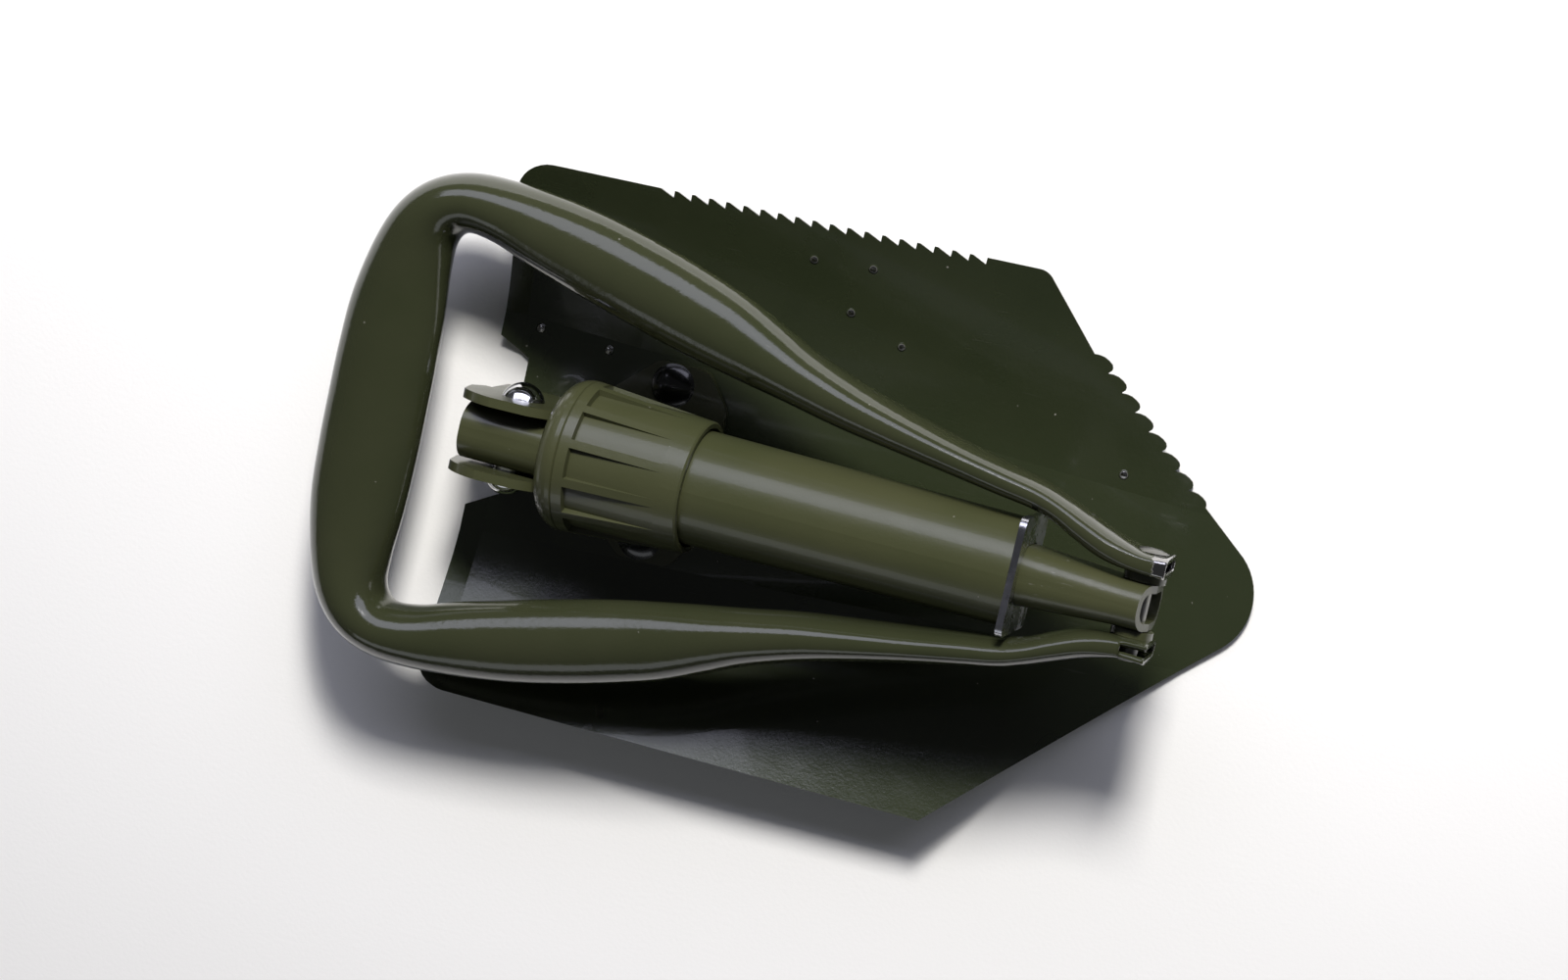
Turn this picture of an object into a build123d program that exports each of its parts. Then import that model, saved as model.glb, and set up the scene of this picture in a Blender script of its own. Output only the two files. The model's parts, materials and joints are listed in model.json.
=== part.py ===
from build123d import *

import math
import os

# Folding camp shovel, folded flat with the hollow of its blade upwards.
# Frame: X runs from the grip to the blade's tip, Y across the blade, +Z up.
# Origin: on the flat back of the blade, straight below the blade hinge. All sizes in millimetres.

# ---- driving dimensions -------------------------------------------------------------------
# blade
SHEET = 2.0                    # blade steel
REAR_X, REAR_HALF = -16.0, 72.7
SHOULDER_X, SHOULDER_HALF = 127.0, 75.0
TIP_X, TIP_R = 206.8, 17.0
RIM_X, RIM_LIFT = -10.5, 2.7   # bend line of the turned-up foot rim, and its rise
FLAT_REAR, FLAT_FRONT = 31.0, 20.0   # half width of the flat floor at the rear and at the tip
FLANK_REAR, FLANK_FRONT = 20.5, 15.3  # rise of the flanks at full half width
NOTCH_X, NOTCH_IN, NOTCH_OUT = -7.6, 19.2, 24.0
SAW_FROM, SAW_PITCH, SAW_COUNT, SAW_DEPTH = 21.6, 4.7, 19, 1.8
SCALLOP_FROM, SCALLOP_PITCH, SCALLOP_COUNT, SCALLOP_DEPTH = 24.8, 6.25, 8, 2.3

# blade bracket and hinge
HINGE_Z = 27.7
TILT = 6.7                     # the shaft climbs this much from the blade hinge, in degrees
BRACKET_T = 2.6
EAR_IN, EAR_OUT = 8.5, 11.0
CAM_R, CAM_FLAT, STEM_HALF = 16.0, 15.2, 11.6
HINGE_R, RUN = 4.0, 0.05       # blade hinge pin radius, and the running clearance of both hinges
HINGE_HEAD_R, HINGE_HEAD_H = 5.8, 4.4
RIVET_R, RIVET_HEAD_R, RIVET_HEAD_H = 3.0, 6.0, 2.4
RIVETS = [(34.0, 21.5), (34.0, -21.5), (43.5, 0.0)]

# inner tube, in shaft coordinates: s runs along the shaft from the blade hinge
TUBE_W, TUBE_H, TUBE_CORNER, TUBE_WALL = 15.4, 20.0, 6.5, 2.0
TUBE_FROM, TUBE_TO = -12.3, 176.0
PINCH_FROM, PINCH_TO, PINCH_W = 143.0, 168.0, 11.8   # the tube narrows between the handle's legs
LIP_BACK, LIP_DROP = 2.7, 8.0  # the top of its open end is cut back
PIVOT_S = 172.0
PIVOT_R, PIVOT_GRIP, PIVOT_HEAD_R, PIVOT_HEAD_H = 2.6, 13.75, 4.6, 0.9
SLIDE_GAP = 0.25

# sliding sleeve: threaded end, tapered tube, pressing plate
THREAD_R, THREAD_ROOT, THREAD_PITCH = 15.2, 14.4, 4.0
SLEEVE_FROM, CONE_FROM, CONE_TO = 24.0, 46.0, 140.6
CONE_R1, CONE_R2, CONE_WALL = 15.35, 14.2, 1.4
PLATE_T, PLATE_W, PLATE_H, PLATE_CORNER = 1.8, 30.8, 28.0, 3.0

# screw collar
COLLAR_FROM, COLLAR_TO = 13.0, 53.5
COLLAR_NOSE_R, COLLAR_R, COLLAR_REAR_R = 15.2, 20.4, 17.7
MOUTH_R, MOUTH_TO, WEB_R, WEB_TO = 14.5, 18.35, 11.6, 20.3
RIB_COUNT, RIB_W, RIB_FROM, RIB_TO = 12, 2.3, 22.6, 47.5
BUSH_R, BUSH_FROM, BUSH_TO = 16.1, 20.3, 42.8
WASHER_FROM, WASHER_T, WASHER_R = 16.3, 2.0, 14.2

# handle: distance from its pivot, half spacing, width, height and squareness of the tube
HANDLE_TILT = 5.7
HANDLE_WALL = 1.5
LEG_IN, LEG_H, LEG_END = 8.1, 18.6, -5.5
SPACER_R = 5.4
ARM = [
    (-9.0, 10.9, 5.6, 18.6, 6.0),
    (1.0, 10.9, 5.6, 18.6, 6.0),
    (7.0, 11.8, 7.0, 18.6, 5.0),
    (12.0, 13.2, 7.6, 18.6, 4.5),
    (18.0, 15.7, 7.5, 18.6, 4.0),
    (24.5, 18.6, 7.0, 18.6, 3.4),
    (31.0, 20.6, 7.6, 19.6, 3.0),
    (40.0, 22.2, 8.3, 21.0, 2.8),
    (54.0, 24.8, 9.4, 22.3, 2.6),
    (69.0, 27.7, 10.9, 22.5, 2.4),
    (83.0, 30.7, 12.9, 22.0, 2.3),
    (97.0, 34.5, 15.0, 21.4, 2.2),
    (108.0, 38.0, 18.0, 20.6, 2.1),
    (120.0, 41.8, 20.8, 19.6, 2.1),
    (132.0, 45.1, 22.2, 19.0, 2.0),
    (146.0, 48.9, 22.6, 19.0, 2.0),
    (160.0, 52.5, 22.1, 19.0, 2.0),
    (174.0, 55.7, 20.2, 19.6, 2.0),
    (186.0, 58.2, 17.4, 20.8, 2.0),
    (196.0, 58.6, 16.0, 22.0, 2.0),
    (203.3, 55.6, 16.8, 22.6, 2.0),
    (208.0, 49.4, 19.2, 21.6, 2.0),
    (210.2, 40.3, 22.8, 19.4, 2.0),
    (211.2, 27.2, 26.8, 17.2, 2.0),
    (211.4, 13.0, 28.2, 16.2, 2.0),
    (211.4, 0.0, 28.4, 16.0, 2.0),
]

SHAFT = Pos(0, 0, HINGE_Z) * Rot(0, -TILT, 0)
PIVOT = SHAFT * Pos(PIVOT_S, 0, 0)
HANDLE = Pos(*PIVOT.position) * Rot(0, -HANDLE_TILT, 0)


# ---- helpers ------------------------------------------------------------------------------
def save(shape, node):
    """Write one sub-part as its own STEP file."""
    shape = shape.solid()
    shape.label = node
    export_step(shape, f"parts/{node}.step")


def along_shaft(profile):
    """Turn an (s, r) outline about the shaft's axis."""
    face = make_face(Polyline(*[(s, 0, r) for s, r in profile], close=True))
    return revolve(face, Axis.X)


def oval_face(grow, s, width=TUBE_W):
    """The inner tube's outline at one place, grown all round by the given amount."""
    corner = TUBE_CORNER - (TUBE_W - width) / 3
    outline = RectangleRounded(width + 2 * grow, TUBE_H + 2 * grow, corner + grow)
    return Plane(origin=(s, 0, 0), x_dir=(0, 1, 0), z_dir=(1, 0, 0)) * outline


def oval(grow, start, end):
    """A bar of the inner tube's outline, grown all round by the given amount."""
    return extrude(oval_face(grow, start), end - start)


def cross_bar(radius, y1, y2, s=0.0):
    """A round bar across the shaft, from y1 to y2."""
    return Pos(s, (y1 + y2) / 2, 0) * Rot(90, 0, 0) * Cylinder(radius, abs(y2 - y1))


def dome(radius, height):
    """A rivet head: a spherical cap that stands on the XY plane."""
    ball_r = (radius ** 2 + height ** 2) / (2 * height)
    cap = Pos(0, 0, height - ball_r) * Sphere(ball_r)
    return cap & Pos(0, 0, height / 2) * Cylinder(radius, height)


# ---- blade --------------------------------------------------------------------------------
def flat_half(x):
    return FLAT_REAR + (FLAT_FRONT - FLAT_REAR) * (x - REAR_X) / (TIP_X - REAR_X)


def flank_rise(x):
    t = (x - REAR_X) / (SHOULDER_X - REAR_X)
    return FLANK_REAR + (FLANK_FRONT - FLANK_REAR) * min(t, 1.0)


def blade_section(x, lift):
    """Cross-section of the pressed sheet: a flat floor between two flanks that curve upwards."""
    edge, flat, rise = 80.0, flat_half(x), flank_rise(x)

    def flank(side, z0):
        points = []
        for k in range(7):
            u = k / 6
            rel = u * (edge - flat) / (SHOULDER_HALF - flat)
            points.append((x, side * (flat + u * (edge - flat)), z0 + rise * rel ** 1.35))
        return points

    low, high = lift, lift + SHEET
    right_low, right_high = flank(1, low), flank(1, high)
    left_low, left_high = flank(-1, low), flank(-1, high)
    edges = [
        Line(left_low[0], right_low[0]), Spline(*right_low),
        Line(right_low[-1], right_high[-1]), Spline(*right_high[::-1]),
        Line(right_high[0], left_high[0]), Spline(*left_high),
        Line(left_high[-1], left_low[-1]), Spline(*left_low[::-1]),
    ]
    return Face(Wire(edges))


def toothed_edge(start, end, first, pitch, count, tooth):
    """Points of a row of teeth cut into a straight edge; tooth is a list of (along, depth)."""
    length = math.dist(start, end)
    ux, uy = (end[0] - start[0]) / length, (end[1] - start[1]) / length
    inward = (uy, -ux)
    points = []
    for k in range(count):
        for along, depth in tooth:
            p = first + (k + along) * pitch
            points.append((start[0] + ux * p + inward[0] * depth, start[1] + uy * p + inward[1] * depth))
    return points


def rounded(before, corner, after, radius, steps=8):
    """Points of an arc that rounds one corner of an outline."""
    a = [before[0] - corner[0], before[1] - corner[1]]
    b = [after[0] - corner[0], after[1] - corner[1]]
    la, lb = math.hypot(*a), math.hypot(*b)
    a, b = (a[0] / la, a[1] / la), (b[0] / lb, b[1] / lb)
    half = math.acos(a[0] * b[0] + a[1] * b[1]) / 2
    reach, centre_d = radius / math.tan(half), radius / math.sin(half)
    bis = (a[0] + b[0], a[1] + b[1])
    lbis = math.hypot(*bis)
    cx, cy = corner[0] + bis[0] / lbis * centre_d, corner[1] + bis[1] / lbis * centre_d
    p = (corner[0] + a[0] * reach, corner[1] + a[1] * reach)
    q = (corner[0] + b[0] * reach, corner[1] + b[1] * reach)
    t1, t2 = math.atan2(p[1] - cy, p[0] - cx), math.atan2(q[1] - cy, q[0] - cx)
    turn = (t2 - t1 + math.pi) % (2 * math.pi) - math.pi
    return [(cx + radius * math.cos(t1 + turn * k / steps), cy + radius * math.sin(t1 + turn * k / steps))
            for k in range(steps + 1)]


def blade_outline():
    rear_l, rear_r = (REAR_X, REAR_HALF), (REAR_X, -REAR_HALF)
    sh_l, sh_r = (SHOULDER_X, SHOULDER_HALF), (SHOULDER_X, -SHOULDER_HALF)
    tip = (TIP_X, 0.0)
    saw = [(0.04, 0.0), (0.22, 0.0), (1.0, SAW_DEPTH)]
    saw_end = SAW_FROM - REAR_X + SAW_COUNT * SAW_PITCH
    hump = [(0.0, SCALLOP_DEPTH), (0.16, 1.3), (0.36, 0.5), (0.6, 0.08), (0.8, 0.0), (0.93, 0.35), (1.0, 1.0)]
    points = [(REAR_X, NOTCH_OUT)]
    points += rounded((REAR_X, NOTCH_OUT), rear_l, sh_l, 9.0)
    points += toothed_edge(rear_l, sh_l, SAW_FROM - REAR_X, SAW_PITCH, SAW_COUNT, saw)
    points += toothed_edge(rear_l, sh_l, saw_end, SAW_PITCH, 1, [(0.04, 0.0)])
    points += rounded(rear_l, sh_l, tip, 5.0)
    points += toothed_edge(sh_l, tip, SCALLOP_FROM, SCALLOP_PITCH, SCALLOP_COUNT, hump)
    points += rounded(sh_l, tip, sh_r, TIP_R, 14)
    points += [sh_r]
    points += rounded(sh_r, rear_r, (REAR_X, -NOTCH_OUT), 9.0)
    points += [(REAR_X, -NOTCH_OUT), (NOTCH_X, -NOTCH_IN), (NOTCH_X, NOTCH_IN)]
    return points


def make_blade():
    stations = [(-24.0, RIM_LIFT * (RIM_X + 24.0) / (RIM_X - REAR_X)), (RIM_X, 0.0), (SHOULDER_X, 0.0), (226.0, 0.0)]
    sheet = None
    for (x1, l1), (x2, l2) in zip(stations, stations[1:]):
        piece = loft([blade_section(x1, l1), blade_section(x2, l2)], ruled=True)
        sheet = piece if sheet is None else sheet + piece
    prism = Pos(0, 0, -5) * extrude(make_face(Polyline(*blade_outline(), close=True)), 60)
    blade = sheet & prism
    for x, y in RIVETS:
        blade -= Pos(x, y, 0) * Cylinder(RIVET_R, 20)
    return blade


# ---- bracket and rivets -------------------------------------------------------------------
def ear_profile():
    """Side view of an ear: a cam with three flats that the collar locks, on a plain stem."""
    cam = Circle(CAM_R)
    for angle in (TILT, 90.0, 180.0 - TILT):
        cam -= Rot(0, 0, angle) * Pos(CAM_FLAT + 5, 0) * Rectangle(10, 60)
    stem = Pos(0, -HINGE_Z / 2 + SHEET / 2) * Rectangle(2 * STEM_HALF, HINGE_Z - SHEET)
    keep = Pos(0, 15) * Rectangle(80, 2 * (15 + 9.0))
    return (cam & keep) + stem


def make_bracket():
    corners = [(-6.5, 11.0), (11.0, 11.0), (29.0, 27.5), (43.0, 27.5), (50.0, 18.0)]
    outline = corners + [(x, -y) for x, y in corners[::-1]]
    base = Pos(0, 0, SHEET) * extrude(make_face(Polyline(*outline, close=True)), BRACKET_T)
    base = fillet([e for e in base.edges().filter_by(Axis.Z) if e.center().X > 20], 4.0)
    side = Plane(origin=(0, 0, HINGE_Z), x_dir=(1, 0, 0), z_dir=(0, -1, 0))
    ear = extrude(side * ear_profile(), EAR_OUT - EAR_IN)
    bracket = base + Pos(0, EAR_OUT, 0) * ear + Pos(0, -EAR_IN, 0) * ear
    bracket -= Pos(0, 0, HINGE_Z) * cross_bar(HINGE_R, -20, 20)
    for x, y in RIVETS:
        bracket -= Pos(x, y, 0) * Cylinder(RIVET_R, 30)
    return bracket


def make_bracket_rivet(x, y):
    top = SHEET + BRACKET_T
    rivet = Pos(0, 0, top / 2) * Cylinder(RIVET_R, top) + Pos(0, 0, top) * dome(RIVET_HEAD_R, RIVET_HEAD_H)
    return Pos(x, y, 0) * rivet


def make_hinge_rivet(radius, half_grip, head_r, head_h):
    """A pin across the shaft with a domed head on each side."""
    pin = cross_bar(radius, -half_grip, half_grip)
    head = dome(head_r, head_h)
    return pin + Pos(0, half_grip, 0) * Rot(-90, 0, 0) * head + Pos(0, -half_grip, 0) * Rot(90, 0, 0) * head


# ---- shaft --------------------------------------------------------------------------------
def pinched_bar(grow, past):
    """The inner tube's outline as one bar that narrows towards its open end."""
    bar = oval(grow, TUBE_FROM - past, PINCH_FROM)
    bar += loft([oval_face(grow, PINCH_FROM), oval_face(grow, PINCH_TO, PINCH_W)], ruled=True)
    return bar + extrude(oval_face(grow, PINCH_TO, PINCH_W), TUBE_TO + past - PINCH_TO)


def make_inner_tube():
    tube = pinched_bar(0, 0) - pinched_bar(-TUBE_WALL, 1)
    top = TUBE_H / 2
    lip = make_face(Polyline((TUBE_TO - LIP_BACK, 0, top + 1), (TUBE_TO - LIP_BACK, 0, top),
                             (TUBE_TO, 0, top - LIP_DROP), (TUBE_TO + 1, 0, top - LIP_DROP),
                             (TUBE_TO + 1, 0, top + 1), close=True))
    tube -= extrude(lip, TUBE_W, both=True)
    tube -= cross_bar(HINGE_R + RUN, -12, 12, 0.0)
    return tube - cross_bar(PIVOT_R + RUN, -12, 12, PIVOT_S)


def make_threaded_sleeve():
    """Screw thread (drawn as rings), a guide that fits the inner tube and a spigot for the cone."""
    bore, spigot, guide_to = 11.8, 13.6, 31.0
    outline = [(SLEEVE_FROM, 5.0), (SLEEVE_FROM, THREAD_ROOT)]
    s = SLEEVE_FROM + 0.6
    while s + THREAD_PITCH <= CONE_FROM:
        outline += [(s, THREAD_ROOT), (s + 1.0, THREAD_R), (s + 2.4, THREAD_R), (s + 3.4, THREAD_ROOT)]
        s += THREAD_PITCH
    outline += [(CONE_FROM, THREAD_ROOT), (CONE_FROM, spigot), (CONE_FROM + 12, spigot), (CONE_FROM + 12, bore)]
    outline += [(guide_to, bore), (guide_to, 5.0)]
    return along_shaft(outline) - oval(SLIDE_GAP, SLEEVE_FROM - 1, guide_to + 1)


def make_outer_tube():
    return along_shaft([(CONE_FROM, CONE_R1 - CONE_WALL), (CONE_FROM, CONE_R1),
                        (CONE_TO, CONE_R2), (CONE_TO, CONE_R2 - CONE_WALL)])


def make_end_plate():
    face = RectangleRounded(PLATE_W, PLATE_H, PLATE_CORNER)
    plate = extrude(Plane(origin=(CONE_TO, 0, 0), x_dir=(0, 1, 0), z_dir=(1, 0, 0)) * face, PLATE_T)
    return plate - oval(SLIDE_GAP, CONE_TO - 1, CONE_TO + PLATE_T + 1)


def make_thrust_washer():
    disc = along_shaft([(WASHER_FROM, 0), (WASHER_FROM, WASHER_R),
                        (WASHER_FROM + WASHER_T, WASHER_R), (WASHER_FROM + WASHER_T, 0)])
    return disc - oval(SLIDE_GAP, WASHER_FROM - 1, WASHER_FROM + WASHER_T + 1)


# ---- collar -------------------------------------------------------------------------------
def collar_nose():
    """Outer outline of the rounded nose, from the mouth to the widest ring."""
    length, rise = 6.0, COLLAR_R - COLLAR_NOSE_R
    return [(COLLAR_FROM + length * (1 - math.cos(a)), COLLAR_NOSE_R + rise * math.sin(a))
            for a in [math.radians(10 * k) for k in range(10)]]


def cone_r(s):
    return COLLAR_R + (COLLAR_REAR_R - COLLAR_R) * (s - 20.0) / (COLLAR_TO - 20.0)


def collar_body(outer):
    inner = [(COLLAR_TO, BUSH_R), (WEB_TO, BUSH_R), (WEB_TO, WEB_R), (MOUTH_TO, WEB_R),
             (MOUTH_TO, MOUTH_R), (COLLAR_FROM, MOUTH_R)]
    return along_shaft(outer + inner)


def make_collar():
    groove = [(19.2, cone_r(20.0)), (19.5, cone_r(20.0) - 0.4), (19.8, cone_r(20.0))]
    full = collar_nose() + [(20.0, cone_r(20.0)), (COLLAR_TO - 0.5, cone_r(COLLAR_TO)), (COLLAR_TO, cone_r(COLLAR_TO) - 0.4)]
    panels = collar_nose() + groove + [
        (RIB_FROM, cone_r(RIB_FROM)), (RIB_FROM + 0.3, 18.5), (RIB_TO, cone_r(RIB_TO) - 0.05),
        (COLLAR_TO - 0.5, cone_r(COLLAR_TO)), (COLLAR_TO, cone_r(COLLAR_TO) - 0.4)]
    collar = collar_body(panels)
    cone = collar_body(full)
    length = RIB_TO - RIB_FROM
    for k in range(RIB_COUNT):
        bar = Pos((RIB_FROM + RIB_TO) / 2, 0, 19.5) * Box(length, RIB_W, 5.0)
        collar += cone & (Rot(360 / RIB_COUNT * (k + 0.5), 0, 0) * bar)
    return collar


def make_collar_bush():
    """The nut inside the collar that runs on the sleeve's thread."""
    bore = THREAD_R + 0.1
    return along_shaft([(BUSH_FROM, bore), (BUSH_FROM, BUSH_R), (BUSH_TO, BUSH_R), (BUSH_TO, bore)])


# ---- handle -------------------------------------------------------------------------------
def tube_section(row, ahead, behind, shrink):
    """One cross-section of the bent tube, square to its centre line."""
    d, y, w, h, n = row
    run, rise = ahead[0] - behind[0], ahead[1] - behind[1]
    size = math.hypot(run, rise)
    tx, ty = -run / size, rise / size
    a, b = w / 2 - shrink, h / 2 - shrink
    points = []
    for j in range(16):
        t = 2 * math.pi * j / 16
        c, s = math.cos(t), math.sin(t)
        u = a * math.copysign(abs(c) ** (2 / n), c)
        v = b * math.copysign(abs(s) ** (2 / n), s)
        points.append((-d - ty * u, y + tx * u, v))
    return Face(Wire([Spline(*points, periodic=True)]))


def bent_tube(shrink, rows):
    """The whole loop, from one leg over the grip to the other leg."""
    loop = rows + [(d, -y, w, h, n) for d, y, w, h, n in rows[-2::-1]]
    last = len(loop) - 1
    return loft([tube_section(row, loop[min(k + 1, last)], loop[max(k - 1, 0)], shrink)
                 for k, row in enumerate(loop)], ruled=True)


def make_handle():
    """A bent tube, pinched at its corners and flattened into two open-ended legs at the pivot."""
    outer = bent_tube(0.0, ARM)
    inner = bent_tube(HANDLE_WALL, [(-12.0,) + ARM[0][1:]] + ARM[1:])
    end_r = LEG_H / 2
    nose = Pos(-LEG_END - end_r, 0, 0) * Rot(90, 0, 0) * Cylinder(end_r, 80)
    trim = Pos(-LEG_END - end_r + 20, 0, 0) * Box(40, 60, 40) - nose
    handle = outer - inner - trim
    handle -= Pos(-6, 0, 0) * Box(26, 2 * LEG_IN, 40)
    open_top = Pos(-LEG_END / 2 - 0.2, -ARM[0][1], LEG_H / 2) * Box(-LEG_END + 3.6, ARM[0][2] - 2 * HANDLE_WALL, 8)
    handle -= open_top
    handle -= cross_bar(PIVOT_R, -30, 30)
    return handle


def make_pivot_washer(side):
    """A spacer between the narrowed tube and one leg of the handle."""
    thick = LEG_IN - PINCH_W / 2 - 0.3
    middle = side * (LEG_IN - thick / 2)
    return cross_bar(SPACER_R, middle - thick / 2, middle + thick / 2) - cross_bar(PIVOT_R, -30, 30)


# ---- write the parts ----------------------------------------------------------------------
os.makedirs("parts", exist_ok=True)

save(make_blade(), "blade")
save(make_bracket(), "blade_bracket")
for number, (rx, ry) in enumerate(RIVETS, 1):
    save(make_bracket_rivet(rx, ry), f"bracket_rivet_{number}")
save(Pos(0, 0, HINGE_Z) * make_hinge_rivet(HINGE_R, EAR_OUT, HINGE_HEAD_R, HINGE_HEAD_H), "blade_hinge_rivet")
save(SHAFT * make_inner_tube(), "inner_tube")
save(SHAFT * make_threaded_sleeve(), "threaded_sleeve")
save(SHAFT * make_outer_tube(), "outer_tube")
save(SHAFT * make_end_plate(), "end_plate")
save(SHAFT * make_thrust_washer(), "thrust_washer")
save(SHAFT * make_collar(), "collar")
save(SHAFT * make_collar_bush(), "collar_bush")
save(HANDLE * make_handle(), "handle_tube")
save(PIVOT * make_hinge_rivet(PIVOT_R, PIVOT_GRIP, PIVOT_HEAD_R, PIVOT_HEAD_H), "handle_hinge_pin")
save(HANDLE * make_pivot_washer(1), "pivot_washer_left")
save(HANDLE * make_pivot_washer(-1), "pivot_washer_right")
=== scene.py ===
"""Camp shovel: paint, metal, bent tube handle and stage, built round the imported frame."""

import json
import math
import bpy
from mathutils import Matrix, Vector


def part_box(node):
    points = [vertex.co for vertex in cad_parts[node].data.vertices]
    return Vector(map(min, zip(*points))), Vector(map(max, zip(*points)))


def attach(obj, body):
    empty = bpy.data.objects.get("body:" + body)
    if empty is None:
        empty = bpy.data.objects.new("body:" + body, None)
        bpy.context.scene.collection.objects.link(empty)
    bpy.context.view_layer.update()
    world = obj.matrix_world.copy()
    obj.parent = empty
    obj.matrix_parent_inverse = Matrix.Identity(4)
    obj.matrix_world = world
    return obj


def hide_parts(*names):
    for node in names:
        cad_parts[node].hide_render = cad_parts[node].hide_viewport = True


bl_info = {
    "name": "Camp Shovel",
    "version": (1, 0, 0),
    "blender": (4, 5, 0),
    "location": "3D View > Sidebar > Shovel",
    "description": "Finishes a folding camp shovel: enamel, bare metal, tube handle and studio stage",
    "category": "Object",
}

import bmesh
import bpy
from mathutils import Euler, Matrix, Vector

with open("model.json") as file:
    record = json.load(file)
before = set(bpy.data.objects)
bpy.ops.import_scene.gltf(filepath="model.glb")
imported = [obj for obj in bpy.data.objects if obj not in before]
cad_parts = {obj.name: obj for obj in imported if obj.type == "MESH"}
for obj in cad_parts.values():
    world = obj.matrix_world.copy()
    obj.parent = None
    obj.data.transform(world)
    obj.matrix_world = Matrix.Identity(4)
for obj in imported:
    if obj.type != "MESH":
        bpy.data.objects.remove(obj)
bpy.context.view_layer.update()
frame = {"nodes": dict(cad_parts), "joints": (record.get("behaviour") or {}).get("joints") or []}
JOINTS = {joint["name"]: joint for joint in frame["joints"]}
MM = 0.001

ENAMEL_IOR, COAT_WEIGHT, COAT_ROUGHNESS = 1.52, 0.35, 0.05
ENAMEL_HEIGHT, DROP_HEIGHT, STEEL_HEIGHT = 0.00012, 0.0006, 0.00006   # bump distances (m)
DROP_RADIUS = 0.0014
WORN_LENGTH = 0.008           # rubbed stretch of the inner tube beyond the end plate (m)
BARE_PAST_PIVOT = 0.0025      # one leg of the handle is bare from here to its end (m)
BEVEL_SEGMENTS = 2

# drops of enamel on the blade, at the height of its sheet there (mm); the polished middle of each is a
# painted glint
BLADE_DROPS = [(66.0, 64.0, 14.0), (82.0, 65.0, 14.2), (78.0, 52.0, 9.5), (93.0, 46.0, 7.6),
               (158.0, 26.5, 2.6), (-6.0, 28.0, 2.0), (14.0, 26.5, 2.0), (17.0, 52.0, 8.0)]

KEY_PLACE = (0.12, 0.72, 0.80)
LIGHTS_FACE = (0.08, 0.0, 0.0)
FLOOR_HALF_WIDTH = 3.0


# ---- settings -----------------------------------------------------------------------------
class PaintSettings(bpy.types.PropertyGroup):
    """Colours and surface of the stoved enamel and the bare metal."""

    blade_colour: bpy.props.FloatVectorProperty(
        name="Blade enamel", description="Colour of the enamel on the blade and its bracket",
        subtype="COLOR", size=3, min=0.0, max=1.0, default=(0.0215, 0.0275, 0.0130))
    shaft_colour: bpy.props.FloatVectorProperty(
        name="Shaft enamel", description="Colour of the enamel on the tubes and the collar",
        subtype="COLOR", size=3, min=0.0, max=1.0, default=(0.043, 0.047, 0.0215))
    handle_colour: bpy.props.FloatVectorProperty(
        name="Handle enamel", description="Colour of the enamel on the bent tube handle",
        subtype="COLOR", size=3, min=0.0, max=1.0, default=(0.027, 0.031, 0.0150))
    blade_roughness: bpy.props.FloatProperty(
        name="Blade roughness", description="How dull the enamel on the blade is",
        subtype="FACTOR", min=0.0, max=1.0, default=0.2)
    shaft_roughness: bpy.props.FloatProperty(
        name="Shaft roughness", description="How dull the enamel on the shaft is",
        subtype="FACTOR", min=0.0, max=1.0, default=0.33)
    handle_roughness: bpy.props.FloatProperty(
        name="Handle roughness", description="How dull the enamel on the handle is",
        subtype="FACTOR", min=0.0, max=1.0, default=0.12)
    steel_colour: bpy.props.FloatVectorProperty(
        name="Plated steel", description="Colour of the zinc plated end plate",
        subtype="COLOR", size=3, min=0.0, max=1.0, default=(0.60, 0.60, 0.64))
    rivet_colour: bpy.props.FloatVectorProperty(
        name="Polished rivet", description="Colour of the polished hinge rivets",
        subtype="COLOR", size=3, min=0.0, max=1.0, default=(0.80, 0.80, 0.80))


class HandleSettings(bpy.types.PropertyGroup):
    """Sizes of the bent tube handle."""

    wall: bpy.props.FloatProperty(
        name="Tube wall", description="Wall thickness of the bent tube",
        subtype="DISTANCE", unit="LENGTH", min=0.0005, max=0.003, default=0.0015)
    rings: bpy.props.IntProperty(
        name="Rings per span", description="Cross-sections between two stations of the tube",
        min=2, max=12, default=6)
    sides: bpy.props.IntProperty(
        name="Sides", description="Points round each cross-section of the tube",
        min=12, max=64, default=40)
    tilt: bpy.props.FloatProperty(
        name="Tilt", description="Slope of the folded handle down towards its grip",
        subtype="ANGLE", default=math.radians(5.7))


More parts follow.
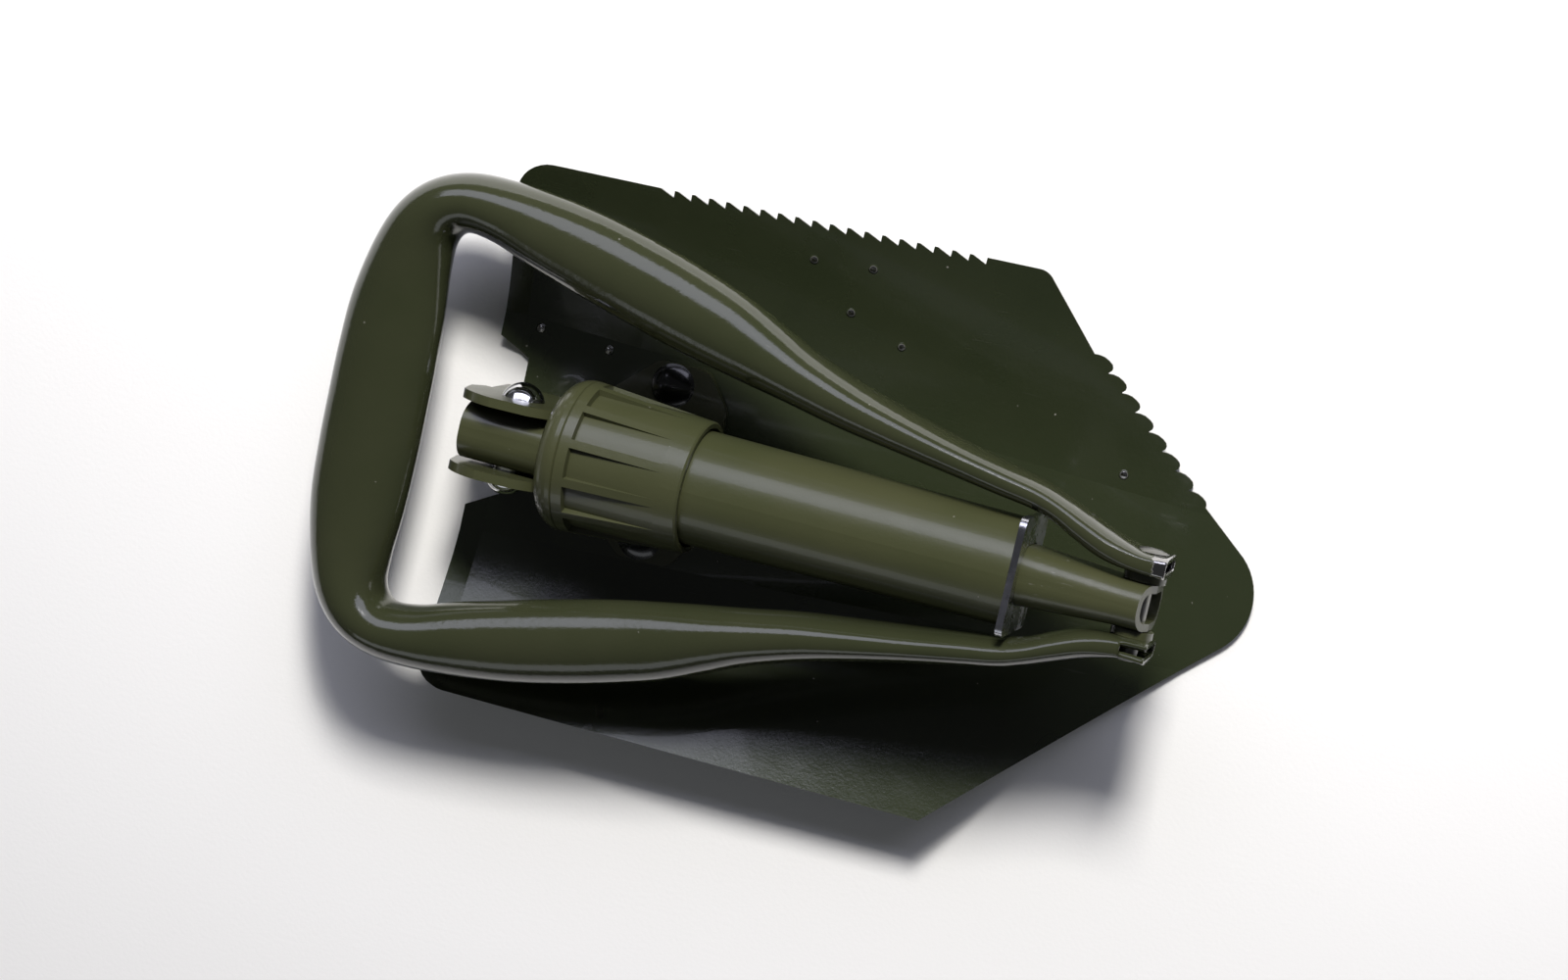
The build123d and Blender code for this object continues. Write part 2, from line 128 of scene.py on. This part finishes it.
class StageSettings(bpy.types.PropertyGroup):
    """Floor, lights and camera."""

    floor_colour: bpy.props.FloatVectorProperty(
        name="Floor", description="Colour of the pale floor",
        subtype="COLOR", size=3, min=0.0, max=1.0, default=(0.80, 0.80, 0.79))
    key_power: bpy.props.FloatProperty(
        name="Key light", description="Power of the main light behind the toothed side",
        subtype="POWER", min=0.0, default=15.0)
    glint_power: bpy.props.FloatProperty(
        name="Glint light", description="Power of the small light that draws the thin bright lines",
        subtype="POWER", min=0.0, default=1.4)
    panel_power: bpy.props.FloatProperty(
        name="Wide panel", description="Power of the wide soft panel behind the key light",
        subtype="POWER", min=0.0, default=13.0)
    fill_power: bpy.props.FloatProperty(
        name="Fill panel", description="Power of the soft panel on the plain edged side of the blade",
        subtype="POWER", min=0.0, default=2.0)
    sky_strength: bpy.props.FloatProperty(
        name="Room light", description="Strength of the even light from all round",
        min=0.0, max=4.0, default=0.05)
    camera_place: bpy.props.FloatVectorProperty(
        name="Camera place", description="Where the camera stands",
        subtype="TRANSLATION", unit="LENGTH", size=3, default=(0.18624, 0.09536, 0.74479))
    camera_turn: bpy.props.FloatVectorProperty(
        name="Camera turn", description="How the camera is turned from looking straight down",
        subtype="EULER", unit="ROTATION", size=3,
        default=(math.radians(-5.026), math.radians(10.273), math.radians(12.852)))
    focal_length: bpy.props.FloatProperty(
        name="Focal length", description="Focal length of the camera's lens, in millimetres",
        min=20.0, max=200.0, default=64.06)


# ---- shader node groups -------------------------------------------------------------------
def new_group(name, inputs, outputs):
    """An empty shader node group with its named sockets, and its two end nodes."""
    group = bpy.data.node_groups.new(name, "ShaderNodeTree")
    for label, kind, value in inputs:
        socket = group.interface.new_socket(name=label, in_out="INPUT", socket_type=kind)
        if value is not None:
            socket.default_value = value
    for label, kind in outputs:
        group.interface.new_socket(name=label, in_out="OUTPUT", socket_type=kind)
    return group, group.nodes.new("NodeGroupInput"), group.nodes.new("NodeGroupOutput")


def math_node(tree, operation, a, b=None, clamp=False):
    """A math node fed by sockets or plain numbers; gives back its output."""
    node = tree.nodes.new("ShaderNodeMath")
    node.operation, node.use_clamp = operation, clamp
    for slot, value in zip(node.inputs, (a, b)):
        if isinstance(value, bpy.types.NodeSocket):
            tree.links.new(value, slot)
        elif value is not None:
            slot.default_value = value
    return node.outputs[0]


def noise_node(tree, vector, scale, detail=2.0, roughness=0.5, distortion=0.0):
    """Cloudy noise from 0 to 1."""
    node = tree.nodes.new("ShaderNodeTexNoise")
    node.inputs["Detail"].default_value = detail
    node.inputs["Roughness"].default_value = roughness
    node.inputs["Distortion"].default_value = distortion
    tree.links.new(vector, node.inputs["Vector"])
    if isinstance(scale, bpy.types.NodeSocket):
        tree.links.new(scale, node.inputs["Scale"])
    else:
        node.inputs["Scale"].default_value = scale
    return node.outputs["Fac"]


def remap(tree, value, from_low, from_high, to_low=0.0, to_high=1.0):
    """Carry a value from one range to another, held within its ends."""
    node = tree.nodes.new("ShaderNodeMapRange")
    node.clamp = True
    tree.links.new(value, node.inputs["Value"])
    ends = {"From Min": from_low, "From Max": from_high, "To Min": to_low, "To Max": to_high}
    for label, number in ends.items():
        if isinstance(number, bpy.types.NodeSocket):
            tree.links.new(number, node.inputs[label])
        else:
            node.inputs[label].default_value = number
    return node.outputs["Result"]


def stretched(tree, vector, scale):
    """The same coordinates, stretched by three factors."""
    node = tree.nodes.new("ShaderNodeVectorMath")
    node.operation = "MULTIPLY"
    tree.links.new(vector, node.inputs[0])
    node.inputs[1].default_value = scale
    return node.outputs[0]


def enamel_group():
    """Orange peel, dust specks and slow colour drift of a sprayed enamel."""
    group, given, result = new_group(
        "Sprayed enamel",
        [("Colour", "NodeSocketColor", (0.03, 0.04, 0.02, 1.0)), ("Roughness", "NodeSocketFloat", 0.25),
         ("Peel Size", "NodeSocketFloat", 900.0), ("Peel Depth", "NodeSocketFloat", 0.5),
         ("Dust", "NodeSocketFloat", 0.3), ("Wear", "NodeSocketFloat", 0.0)],
        [("Colour", "NodeSocketColor"), ("Roughness", "NodeSocketFloat"), ("Height", "NodeSocketFloat"),
         ("Metal", "NodeSocketFloat")])
    where = group.nodes.new("ShaderNodeTexCoord").outputs["Object"]
    peel = noise_node(group, where, given.outputs["Peel Size"], 2.0, 0.55)
    ripple = noise_node(group, where, 130.0, 2.0, 0.5)
    grit = noise_node(group, where, 5200.0, 1.0, 0.4)
    drift = noise_node(group, where, 22.0, 3.0, 0.6)
    smear = noise_node(group, stretched(group, where, (0.35, 1.0, 1.0)), 60.0, 4.0, 0.6, 0.6)

    specks = group.nodes.new("ShaderNodeTexVoronoi")
    specks.inputs["Scale"].default_value = 210.0
    group.links.new(where, specks.inputs["Vector"])
    speck = remap(group, specks.outputs["Distance"], 0.035, 0.075, 1.0, 0.0)
    some = math_node(group, "GREATER_THAN", noise_node(group, where, 400.0, 0.0), 0.66)
    speck = math_node(group, "MULTIPLY", speck, some)
    speck = math_node(group, "MULTIPLY", speck, given.outputs["Dust"], clamp=True)

    tone = group.nodes.new("ShaderNodeMix")
    tone.data_type, tone.blend_type = "RGBA", "MULTIPLY"
    tone.inputs["Factor"].default_value = 1.0
    group.links.new(given.outputs["Colour"], tone.inputs["A"])
    shade = group.nodes.new("ShaderNodeCombineColor")
    for channel, (low, high) in zip(("Red", "Green", "Blue"), ((0.9, 1.12), (0.92, 1.08), (0.86, 1.1))):
        group.links.new(remap(group, drift, 0.3, 0.7, low, high), shade.inputs[channel])
    group.links.new(shade.outputs[0], tone.inputs["B"])

    dusty = group.nodes.new("ShaderNodeMix")
    dusty.data_type = "RGBA"
    dusty.inputs["B"].default_value = (0.34, 0.33, 0.29, 1.0)
    group.links.new(tone.outputs["Result"], dusty.inputs["A"])
    group.links.new(speck, dusty.inputs["Factor"])

    # bare metal where the wear mask is set: real wear, and painted glints at the middles of the blade's
    # drops
    bare = group.nodes.new("ShaderNodeMix")
    bare.data_type = "RGBA"
    bare.inputs["B"].default_value = (0.42, 0.41, 0.40, 1.0)
    group.links.new(dusty.outputs["Result"], bare.inputs["A"])
    group.links.new(given.outputs["Wear"], bare.inputs["Factor"])
    group.links.new(bare.outputs["Result"], result.inputs["Colour"])
    group.links.new(given.outputs["Wear"], result.inputs["Metal"])

    dull = remap(group, smear, 0.35, 0.75, -0.03, 0.05)
    rough = math_node(group, "ADD", given.outputs["Roughness"], dull)
    rough = math_node(group, "ADD", rough, math_node(group, "MULTIPLY", speck, 0.4), clamp=True)
    group.links.new(rough, result.inputs["Roughness"])

    waves = math_node(group, "MULTIPLY", ripple, 1.1)
    height = math_node(group, "ADD", math_node(group, "MULTIPLY", peel, 0.55), waves)
    height = math_node(group, "ADD", height, math_node(group, "MULTIPLY", grit, 0.12))
    height = math_node(group, "MULTIPLY", height, given.outputs["Peel Depth"])
    height = math_node(group, "ADD", height, math_node(group, "MULTIPLY", speck, 0.5))
    height = math_node(group, "SUBTRACT", height, math_node(group, "MULTIPLY", given.outputs["Wear"], 0.35))
    group.links.new(height, result.inputs["Height"])
    return group


def scratch_group():
    """Thin scratches that run mostly along one direction."""
    group, given, result = new_group(
        "Fine scratches",
        [("Density", "NodeSocketFloat", 0.5), ("Along", "NodeSocketFloat", 0.04)],
        [("Mask", "NodeSocketFloat")])
    where = group.nodes.new("ShaderNodeTexCoord").outputs["Object"]
    lines = noise_node(group, stretched(group, where, (0.05, 1.0, 1.0)), 1500.0, 2.0, 0.7, 0.3)
    patches = noise_node(group, where, 55.0, 2.0, 0.6)
    thin = remap(group, lines, 0.66, 0.70)
    where_patches = remap(group, patches, math_node(group, "SUBTRACT", 0.75, given.outputs["Density"]), 0.8)
    group.links.new(math_node(group, "MULTIPLY", thin, where_patches, clamp=True), result.inputs["Mask"])
    return group


def brushed_group():
    """Grain and stain of plated or bare steel."""
    group, given, result = new_group(
        "Brushed steel",
        [("Colour", "NodeSocketColor", (0.6, 0.6, 0.6, 1.0)), ("Roughness", "NodeSocketFloat", 0.3),
         ("Grain", "NodeSocketFloat", 0.4)],
        [("Colour", "NodeSocketColor"), ("Roughness", "NodeSocketFloat"), ("Height", "NodeSocketFloat")])
    where = group.nodes.new("ShaderNodeTexCoord").outputs["Object"]
    grain = noise_node(group, stretched(group, where, (1.0, 0.06, 0.5)), 2600.0, 3.0, 0.6)
    stain = noise_node(group, where, 160.0, 3.0, 0.65)
    tint = group.nodes.new("ShaderNodeMix")
    tint.data_type = "RGBA"
    group.links.new(given.outputs["Colour"], tint.inputs["A"])
    tint.inputs["B"].default_value = (0.26, 0.25, 0.30, 1.0)
    group.links.new(remap(group, stain, 0.52, 0.8, 0.0, 0.45), tint.inputs["Factor"])
    group.links.new(tint.outputs["Result"], result.inputs["Colour"])
    dull = remap(group, stain, 0.4, 0.7, -0.04, 0.16)
    rough = math_node(group, "ADD", given.outputs["Roughness"], dull, clamp=True)
    group.links.new(rough, result.inputs["Roughness"])
    group.links.new(math_node(group, "MULTIPLY", grain, given.outputs["Grain"]), result.inputs["Height"])
    return group


def shared_group(name, build):
    """The node group of this name, built the first time it is asked for."""
    return bpy.data.node_groups.get(name) or build()


# ---- materials ----------------------------------------------------------------------------
def blank_material(name):
    """A new material with its node tree and its surface shader."""
    material = bpy.data.materials.new(name)
    material.use_nodes = True
    tree = material.node_tree
    shader = tree.nodes["Principled BSDF"]
    return material, tree, shader


def place_group(tree, group, values):
    """Put a node group into a material, its inputs fed by sockets or plain values."""
    node = tree.nodes.new("ShaderNodeGroup")
    node.node_tree = group
    for label, value in values.items():
        if isinstance(value, bpy.types.NodeSocket):
            tree.links.new(value, node.inputs[label])
        else:
            node.inputs[label].default_value = value
    return node


def bump(tree, shader, height, distance, strength=1.0):
    """Raise the surface by a height; a second call adds to the first one."""
    node = tree.nodes.new("ShaderNodeBump")
    node.inputs["Distance"].default_value = distance
    node.inputs["Strength"].default_value = strength
    tree.links.new(height, node.inputs["Height"])
    for link in shader.inputs["Normal"].links:
        tree.links.new(link.from_socket, node.inputs["Normal"])
    tree.links.new(node.outputs["Normal"], shader.inputs["Normal"])


def enamel(name, colour, roughness, peel=900.0, depth=0.5, dust=0.3, wear_and_glints=None, drops=None):
    """Sprayed olive enamel; the wear mask gives bare metal, for real wear and for painted glints, and drops
    give the height of its droplets.
    """
    material, tree, shader = blank_material(name)
    values = {"Colour": (*colour, 1.0), "Roughness": roughness,
              "Peel Size": peel, "Peel Depth": depth, "Dust": dust}
    if wear_and_glints is not None:
        values["Wear"] = wear_and_glints(tree)
    paint = place_group(tree, shared_group("Sprayed enamel", enamel_group), values)
    tree.links.new(paint.outputs["Colour"], shader.inputs["Base Color"])
    tree.links.new(paint.outputs["Roughness"], shader.inputs["Roughness"])
    if wear_and_glints is not None:
        tree.links.new(paint.outputs["Metal"], shader.inputs["Metallic"])
    shader.inputs["IOR"].default_value = ENAMEL_IOR
    shader.inputs["Coat Weight"].default_value = COAT_WEIGHT
    shader.inputs["Coat Roughness"].default_value = COAT_ROUGHNESS
    bump(tree, shader, paint.outputs["Height"], ENAMEL_HEIGHT)
    if drops is not None:
        bump(tree, shader, drops(tree), DROP_HEIGHT)
    return material


def metal(name, colour, roughness, grain):
    """Plated, polished or bare steel; grain is the depth of its brushed lines."""
    material, tree, shader = blank_material(name)
    steel = place_group(tree, shared_group("Brushed steel", brushed_group),
                        {"Colour": (*colour, 1.0), "Roughness": roughness, "Grain": grain})
    tree.links.new(steel.outputs["Colour"], shader.inputs["Base Color"])
    tree.links.new(steel.outputs["Roughness"], shader.inputs["Roughness"])
    shader.inputs["Metallic"].default_value = 1.0
    bump(tree, shader, steel.outputs["Height"], STEEL_HEIGHT)
    return material


def light_scratches(density, strength):
    """Faint scratches all over a piece."""
    def build(tree):
        group = shared_group("Fine scratches", scratch_group)
        scratches = place_group(tree, group, {"Density": density})
        return math_node(tree, "MULTIPLY", scratches.outputs["Mask"], strength)
    return build


def bare_tip(start, side):
    """Bare metal past a place along X, on one side of the shaft only."""
    def build(tree):
        where = tree.nodes.new("ShaderNodeTexCoord").outputs["Object"]
        axes = tree.nodes.new("ShaderNodeSeparateXYZ")
        tree.links.new(where, axes.inputs[0])
        ragged = math_node(tree, "MULTIPLY", noise_node(tree, where, 700.0, 3.0, 0.6), 0.003)
        place = math_node(tree, "ADD", axes.outputs["X"], ragged)
        past = remap(tree, place, start, start + 0.0004)
        here = math_node(tree, "GREATER_THAN", math_node(tree, "MULTIPLY", axes.outputs["Y"], side), 0.0)
        return math_node(tree, "MULTIPLY", past, here)
    return build


def droplets(places, radius):
    """Small round drops in the enamel at these places, as a height from 0 to 1."""
    def build(tree):
        where = tree.nodes.new("ShaderNodeTexCoord").outputs["Object"]
        total = None
        for place in places:
            gap = tree.nodes.new("ShaderNodeVectorMath")
            gap.operation = "DISTANCE"
            tree.links.new(where, gap.inputs[0])
            gap.inputs[1].default_value = [value * MM for value in place]
            near = remap(tree, gap.outputs["Value"], 0.0, radius, 1.0, 0.0)
            total = near if total is None else math_node(tree, "MAXIMUM", total, near)
        return math_node(tree, "MULTIPLY", total, math_node(tree, "SUBTRACT", 2.0, total))
    return build


def either(first, second):
    """The larger of two masks."""
    return lambda tree: math_node(tree, "MAXIMUM", first(tree), second(tree))


def glint_cores(drops):
    """The polished middle of each drop, bare metal that makes a painted glint."""
    return lambda tree: remap(tree, drops(tree), 0.4, 0.6)


def slide_wear(start, end):
    """Bare streaks where the sleeve rubs the inner tube, between two places along X."""
    def build(tree):
        where = tree.nodes.new("ShaderNodeTexCoord").outputs["Object"]
        axes = tree.nodes.new("ShaderNodeSeparateXYZ")
        tree.links.new(where, axes.inputs[0])
        rising = remap(tree, axes.outputs["X"], start, start + 0.002)
        falling = remap(tree, axes.outputs["X"], end, end + 0.004, 1.0, 0.0)
        group = shared_group("Fine scratches", scratch_group)
        scratches = place_group(tree, group, {"Density": 0.45})
        band = math_node(tree, "MULTIPLY", rising, falling)
        return math_node(tree, "MULTIPLY", band, scratches.outputs["Mask"], clamp=True)
    return build


def cover(node, material):
    """Give a node of the frame its material."""
    target = frame["nodes"][node]
    target.data.materials.clear()
    target.data.materials.append(material)
    return target


def soften(target, width, angle=35.0):
    """Round the sharp edges of a piece a little, so that they catch the light."""
    bevel = target.modifiers.new("Rounded edges", "BEVEL")
    bevel.width, bevel.segments = width, BEVEL_SEGMENTS
    bevel.limit_method, bevel.angle_limit = "ANGLE", math.radians(angle)
    bevel.harden_normals = False
    bevel.use_clamp_overlap = True


# ---- handle tube --------------------------------------------------------------------------
# distance from the pivot, half spacing, width, height, squareness (all but the last in mm)
TUBE_STATIONS = [
    (-5.5, 10.9, 5.6, 18.4, 5.0), (1.0, 10.9, 5.6, 18.6, 4.0), (7.0, 11.8, 7.0, 18.6, 2.9),
    (12.0, 13.2, 7.6, 18.6, 2.5), (18.0, 15.7, 7.5, 18.6, 2.4), (24.5, 18.6, 7.0, 18.6, 2.4),
    (31.0, 20.6, 7.6, 19.6, 2.4), (40.0, 22.2, 8.3, 21.0, 2.4), (54.0, 24.8, 9.4, 22.3, 2.3),
    (69.0, 27.7, 10.9, 22.5, 2.3), (83.0, 30.7, 12.9, 22.0, 2.2), (97.0, 34.5, 15.0, 21.4, 2.2),
    (108.0, 38.0, 18.0, 20.6, 2.1), (120.0, 41.8, 20.8, 19.6, 2.1), (132.0, 45.1, 22.2, 19.0, 2.0),
    (146.0, 48.9, 22.6, 19.0, 2.0), (160.0, 52.5, 22.1, 19.0, 2.0), (174.0, 55.7, 20.2, 19.6, 2.0),
    (186.0, 58.2, 17.4, 20.8, 2.0), (196.0, 58.6, 16.0, 22.0, 2.0), (203.3, 55.6, 16.8, 22.6, 2.0),
    (208.0, 49.4, 19.2, 21.6, 2.0), (210.2, 40.3, 22.8, 19.4, 2.0), (211.2, 27.2, 26.8, 17.2, 2.0),
    (211.4, 13.0, 28.2, 16.2, 2.0), (211.4, 0.0, 28.4, 16.0, 2.0),
]
OPEN_LEG_TO = 2.0        # the top of one leg is cut open up to this distance from the pivot (mm)
OPEN_LEG_ABOVE = 0.0087  # height over the tube's middle from which that top is open (m)


def smooth_between(before, start, end, after, t):
    """Point t of the way along a smooth curve from start to end."""
    values = []
    for p0, p1, p2, p3 in zip(before, start, end, after):
        values.append(0.5 * (2 * p1 + (p2 - p0) * t + (2 * p0 - 5 * p1 + 4 * p2 - p3) * t ** 2
                             + (3 * p1 - p0 - 3 * p2 + p3) * t ** 3))
    return values


def tube_rings(per_span):
    """Cross-section data all round the loop, from one leg's end to the other's."""
    other = [(d, -y, w, h, n) for d, y, w, h, n in TUBE_STATIONS[-2::-1]]
    loop = TUBE_STATIONS + other
    last = len(loop) - 1
    rings = []
    for k in range(last):
        around = [loop[min(max(k + j, 0), last)] for j in (-1, 0, 1, 2)]
        rings += [smooth_between(*around, step / per_span) for step in range(per_span)]
    return rings + [list(loop[last])]


def build_tube(name, settings):
    """The bent, pinched and flattened tube as one open-ended mesh."""
    rings = tube_rings(settings.rings)
    mesh = bmesh.new()
    rows = []
    for k, (d, y, w, h, n) in enumerate(rings):
        ahead, behind = rings[min(k + 1, len(rings) - 1)], rings[max(k - 1, 0)]
        along = Vector((-(ahead[0] - behind[0]), ahead[1] - behind[1], 0.0)).normalized()
        across = Vector((-along.y, along.x, 0.0))
        row = []
        for j in range(settings.sides):
            t = 2 * math.pi * j / settings.sides
            c, s = math.cos(t), math.sin(t)
            u = w / 2 * math.copysign(abs(c) ** (2 / n), c)
            v = h / 2 * math.copysign(abs(s) ** (2 / n), s)
            point = Vector((-d, y, 0.0)) + across * u + Vector((0.0, 0.0, v))
            row.append(mesh.verts.new(point * MM))
        rows.append(row)
    for (d, y, *_), near, far in zip(rings, rows, rows[1:]):
        for j in range(settings.sides):
            k = (j + 1) % settings.sides
            top = near[j].co.z + near[k].co.z > 2 * OPEN_LEG_ABOVE
            if top and y < 0 and d < OPEN_LEG_TO:
                continue
            mesh.faces.new((near[j], near[k], far[k], far[j]))
    bmesh.ops.recalc_face_normals(mesh, faces=mesh.faces)
    for face in mesh.faces:
        face.smooth = True
    data = bpy.data.meshes.new(name)
    mesh.to_mesh(data)
    mesh.free()
    pivot = Vector(JOINTS["handle_fold"]["pos_m"])
    data.transform(Matrix.Translation(pivot) @ Euler((0.0, -settings.tilt, 0.0)).to_matrix().to_4x4())
    piece = bpy.data.objects.new(name, data)
    bpy.context.scene.collection.objects.link(piece)
    wall = piece.modifiers.new("Tube wall", "SOLIDIFY")
    wall.thickness, wall.offset = settings.wall, -1.0
    return piece


# ---- operators ----------------------------------------------------------------------------
class SHOVEL_OT_blade(bpy.types.Operator):
    """Enamel the blade, its bracket and the rivets between them"""

    bl_idname = "shovel.blade"
    bl_label = "Blade and bracket"

    def execute(self, context):
        paint = context.scene.shovel_paint
        drops = droplets(BLADE_DROPS, DROP_RADIUS)
        # the scratches are real wear; the bare middles of the drops are painted glints
        blade = enamel("blade enamel", paint.blade_colour, paint.blade_roughness, 1100.0, 0.5, 0.6,
                       wear_and_glints=either(light_scratches(0.22, 0.05), glint_cores(drops)), drops=drops)
        soften(cover("blade", blade), 0.0004)
        bracket = enamel("bracket enamel", paint.shaft_colour, paint.shaft_roughness, 1100.0, 0.4)
        soften(cover("blade_bracket", bracket), 0.0005)
        # painted shade: the bracket rivets are made nearly black for the handle's shadow they sit in
        shade_dark_enamel = enamel("rivet enamel", (0.008, 0.009, 0.008), 0.22, 1400.0, 0.3, 0.2)
        for number in (1, 2, 3):
            cover(f"bracket_rivet_{number}", shade_dark_enamel)
        cover("blade_hinge_rivet", metal("polished rivet", paint.rivet_colour, 0.1, 0.15))
        return {"FINISHED"}


class SHOVEL_OT_shaft(bpy.types.Operator):
    """Finish the inner tube, the sliding sleeve and the pressing plate"""

    bl_idname = "shovel.shaft"
    bl_label = "Shaft"

    def execute(self, context):
        paint = context.scene.shovel_paint
        plate_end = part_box("end_plate")[1].x
        inner = enamel("inner tube enamel", paint.shaft_colour, paint.shaft_roughness, 1000.0, 0.4,
                       wear_and_glints=slide_wear(plate_end, plate_end + WORN_LENGTH))
        soften(cover("inner_tube", inner), 0.0003)
        outer = enamel("outer tube enamel", paint.shaft_colour, paint.shaft_roughness, 1000.0, 0.45)
        soften(cover("outer_tube", outer), 0.0003)
        soften(cover("end_plate", metal("plated steel", paint.steel_colour, 0.24, 0.5)), 0.0003)
        bare = metal("bare steel", (0.45, 0.45, 0.46), 0.35, 0.6)
        for node in ("threaded_sleeve", "thrust_washer"):
            cover(node, bare)
        return {"FINISHED"}


class SHOVEL_OT_collar(bpy.types.Operator):
    """Finish the ribbed screw collar and the nut inside it"""

    bl_idname = "shovel.collar"
    bl_label = "Screw collar"

    def execute(self, context):
        paint = context.scene.shovel_paint
        collar = enamel("collar enamel", paint.shaft_colour, paint.shaft_roughness, 900.0, 0.5)
        soften(cover("collar", collar), 0.00035, 30.0)
        cover("collar_bush", metal("bush steel", (0.45, 0.45, 0.46), 0.35, 0.6))
        return {"FINISHED"}


class SHOVEL_OT_handle(bpy.types.Operator):
    """Build the bent tube handle and finish its hinge pin"""

    bl_idname = "shovel.handle"
    bl_label = "Handle"

    def execute(self, context):
        paint = context.scene.shovel_paint
        tube = build_tube("bent_tube_handle", context.scene.shovel_handle)
        tip = JOINTS["handle_fold"]["pos_m"][0] + BARE_PAST_PIVOT
        tube.data.materials.append(
            enamel("handle enamel", paint.handle_colour, paint.handle_roughness, 800.0, 0.6, 0.35,
                   wear_and_glints=bare_tip(tip, 1.0)))
        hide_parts("handle_tube")
        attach(tube, "handle")
        cover("handle_hinge_pin", metal("pin steel", (0.22, 0.22, 0.20), 0.3, 0.5))
        spacer = enamel("spacer enamel", paint.shaft_colour, paint.shaft_roughness, 1000.0, 0.4)
        for node in ("pivot_washer_left", "pivot_washer_right"):
            cover(node, spacer)
        return {"FINISHED"}


class SHOVEL_OT_stage(bpy.types.Operator):
    """Set up the pale floor, the soft studio light and the camera"""

    bl_idname = "shovel.stage"
    bl_label = "Stage"

    def execute(self, context):
        stage = context.scene.shovel_stage
        self.make_floor(stage)
        self.make_room(stage)
        key = self.make_light("Key light", KEY_PLACE, (0.22, 0.22), stage.key_power, (1.0, 0.97, 0.92))
        key.visible_glossy = False
        self.make_light("Glint light", KEY_PLACE, (0.07, 0.07), stage.glint_power, (1.0, 0.98, 0.96))
        self.make_light("Wide panel", (0.0, 1.05, 0.96), (2.2, 0.75), stage.panel_power, (0.80, 0.81, 1.0))
        self.make_light("Fill panel", (0.1, -1.25, 0.55), (2.0, 0.4), stage.fill_power, (0.92, 0.95, 1.0))
        self.make_camera(stage)
        bpy.context.scene.view_settings.view_transform = "Standard"
        return {"FINISHED"}

    def make_floor(self, stage):
        """A wide pale floor with a fine paper grain."""
        mesh = bmesh.new()
        bmesh.ops.create_grid(mesh, x_segments=2, y_segments=2, size=FLOOR_HALF_WIDTH)
        data = bpy.data.meshes.new("studio_floor")
        mesh.to_mesh(data)
        mesh.free()
        floor = bpy.data.objects.new("studio_floor", data)
        bpy.context.scene.collection.objects.link(floor)
        material, tree, shader = blank_material("floor paper")
        shader.inputs["Base Color"].default_value = (*stage.floor_colour, 1.0)
        shader.inputs["Roughness"].default_value = 0.9
        shader.inputs["Specular IOR Level"].default_value = 0.2
        grain = noise_node(tree, tree.nodes.new("ShaderNodeTexCoord").outputs["Object"], 900.0, 3.0)
        bump(tree, shader, grain, 0.0001, 0.4)
        data.materials.append(material)

    def make_room(self, stage):
        """Even, weak light from all round."""
        world = bpy.data.worlds.new("studio room")
        bpy.context.scene.world = world
        world.use_nodes = True
        background = world.node_tree.nodes["Background"]
        background.inputs["Color"].default_value = (0.93, 0.95, 1.0, 1.0)
        background.inputs["Strength"].default_value = stage.sky_strength

    def make_light(self, name, place, size, power, colour):
        """A rectangular soft light that faces the middle of the blade."""
        data = bpy.data.lights.new(name, "AREA")
        data.shape, data.energy, data.color = "RECTANGLE", power, colour
        data.size, data.size_y = size
        lamp = bpy.data.objects.new(name, data)
        lamp.location = place
        towards = Vector(LIGHTS_FACE) - Vector(place)
        lamp.rotation_euler = towards.to_track_quat("-Z", "Y").to_euler()
        bpy.context.scene.collection.objects.link(lamp)
        return lamp

    def make_camera(self, stage):
        """A camera above the blade's tip end, looking down into its hollow."""
        data = bpy.data.cameras.new("Camera")
        data.sensor_width, data.lens = 36.0, stage.focal_length
        data.clip_start, data.clip_end = 0.01, 20.0
        camera = bpy.data.objects.new("Camera", data)
        turn = Euler(stage.camera_turn).to_matrix().to_4x4()
        camera.matrix_world = Matrix.Translation(Vector(stage.camera_place)) @ turn
        bpy.context.scene.collection.objects.link(camera)
        bpy.context.scene.camera = camera


# ---- panel and registration ---------------------------------------------------------------
class SHOVEL_PT_panel(bpy.types.Panel):
    """Lists the shovel's pieces and their settings."""

    bl_label = "Camp Shovel"
    bl_idname = "SHOVEL_PT_panel"
    bl_space_type = "VIEW_3D"
    bl_region_type = "UI"
    bl_category = "Shovel"

    def draw(self, context):
        scene = context.scene
        for settings in (scene.shovel_paint, scene.shovel_handle, scene.shovel_stage):
            box = self.layout.box()
            for name in settings.__annotations__:
                box.prop(settings, name)
        for operator in OPERATORS:
            self.layout.operator(operator.bl_idname)


SETTINGS = {"shovel_paint": PaintSettings, "shovel_handle": HandleSettings,
            "shovel_stage": StageSettings}
OPERATORS = (SHOVEL_OT_stage, SHOVEL_OT_blade, SHOVEL_OT_shaft, SHOVEL_OT_collar, SHOVEL_OT_handle)


def register():
    """Make the settings, operators and panel known to Blender."""
    for cls in (*SETTINGS.values(), *OPERATORS, SHOVEL_PT_panel):
        bpy.utils.register_class(cls)
    for name, cls in SETTINGS.items():
        setattr(bpy.types.Scene, name, bpy.props.PointerProperty(type=cls))


def unregister():
    """Take them away again."""
    for name in SETTINGS:
        delattr(bpy.types.Scene, name)
    for cls in reversed((*SETTINGS.values(), *OPERATORS, SHOVEL_PT_panel)):
        bpy.utils.unregister_class(cls)


def main():
    """Build every piece and the stage."""
    register()
    bpy.ops.shovel.stage()
    bpy.ops.shovel.blade()
    bpy.ops.shovel.shaft()
    bpy.ops.shovel.collar()
    bpy.ops.shovel.handle()


if __name__ == "__main__":
    main()
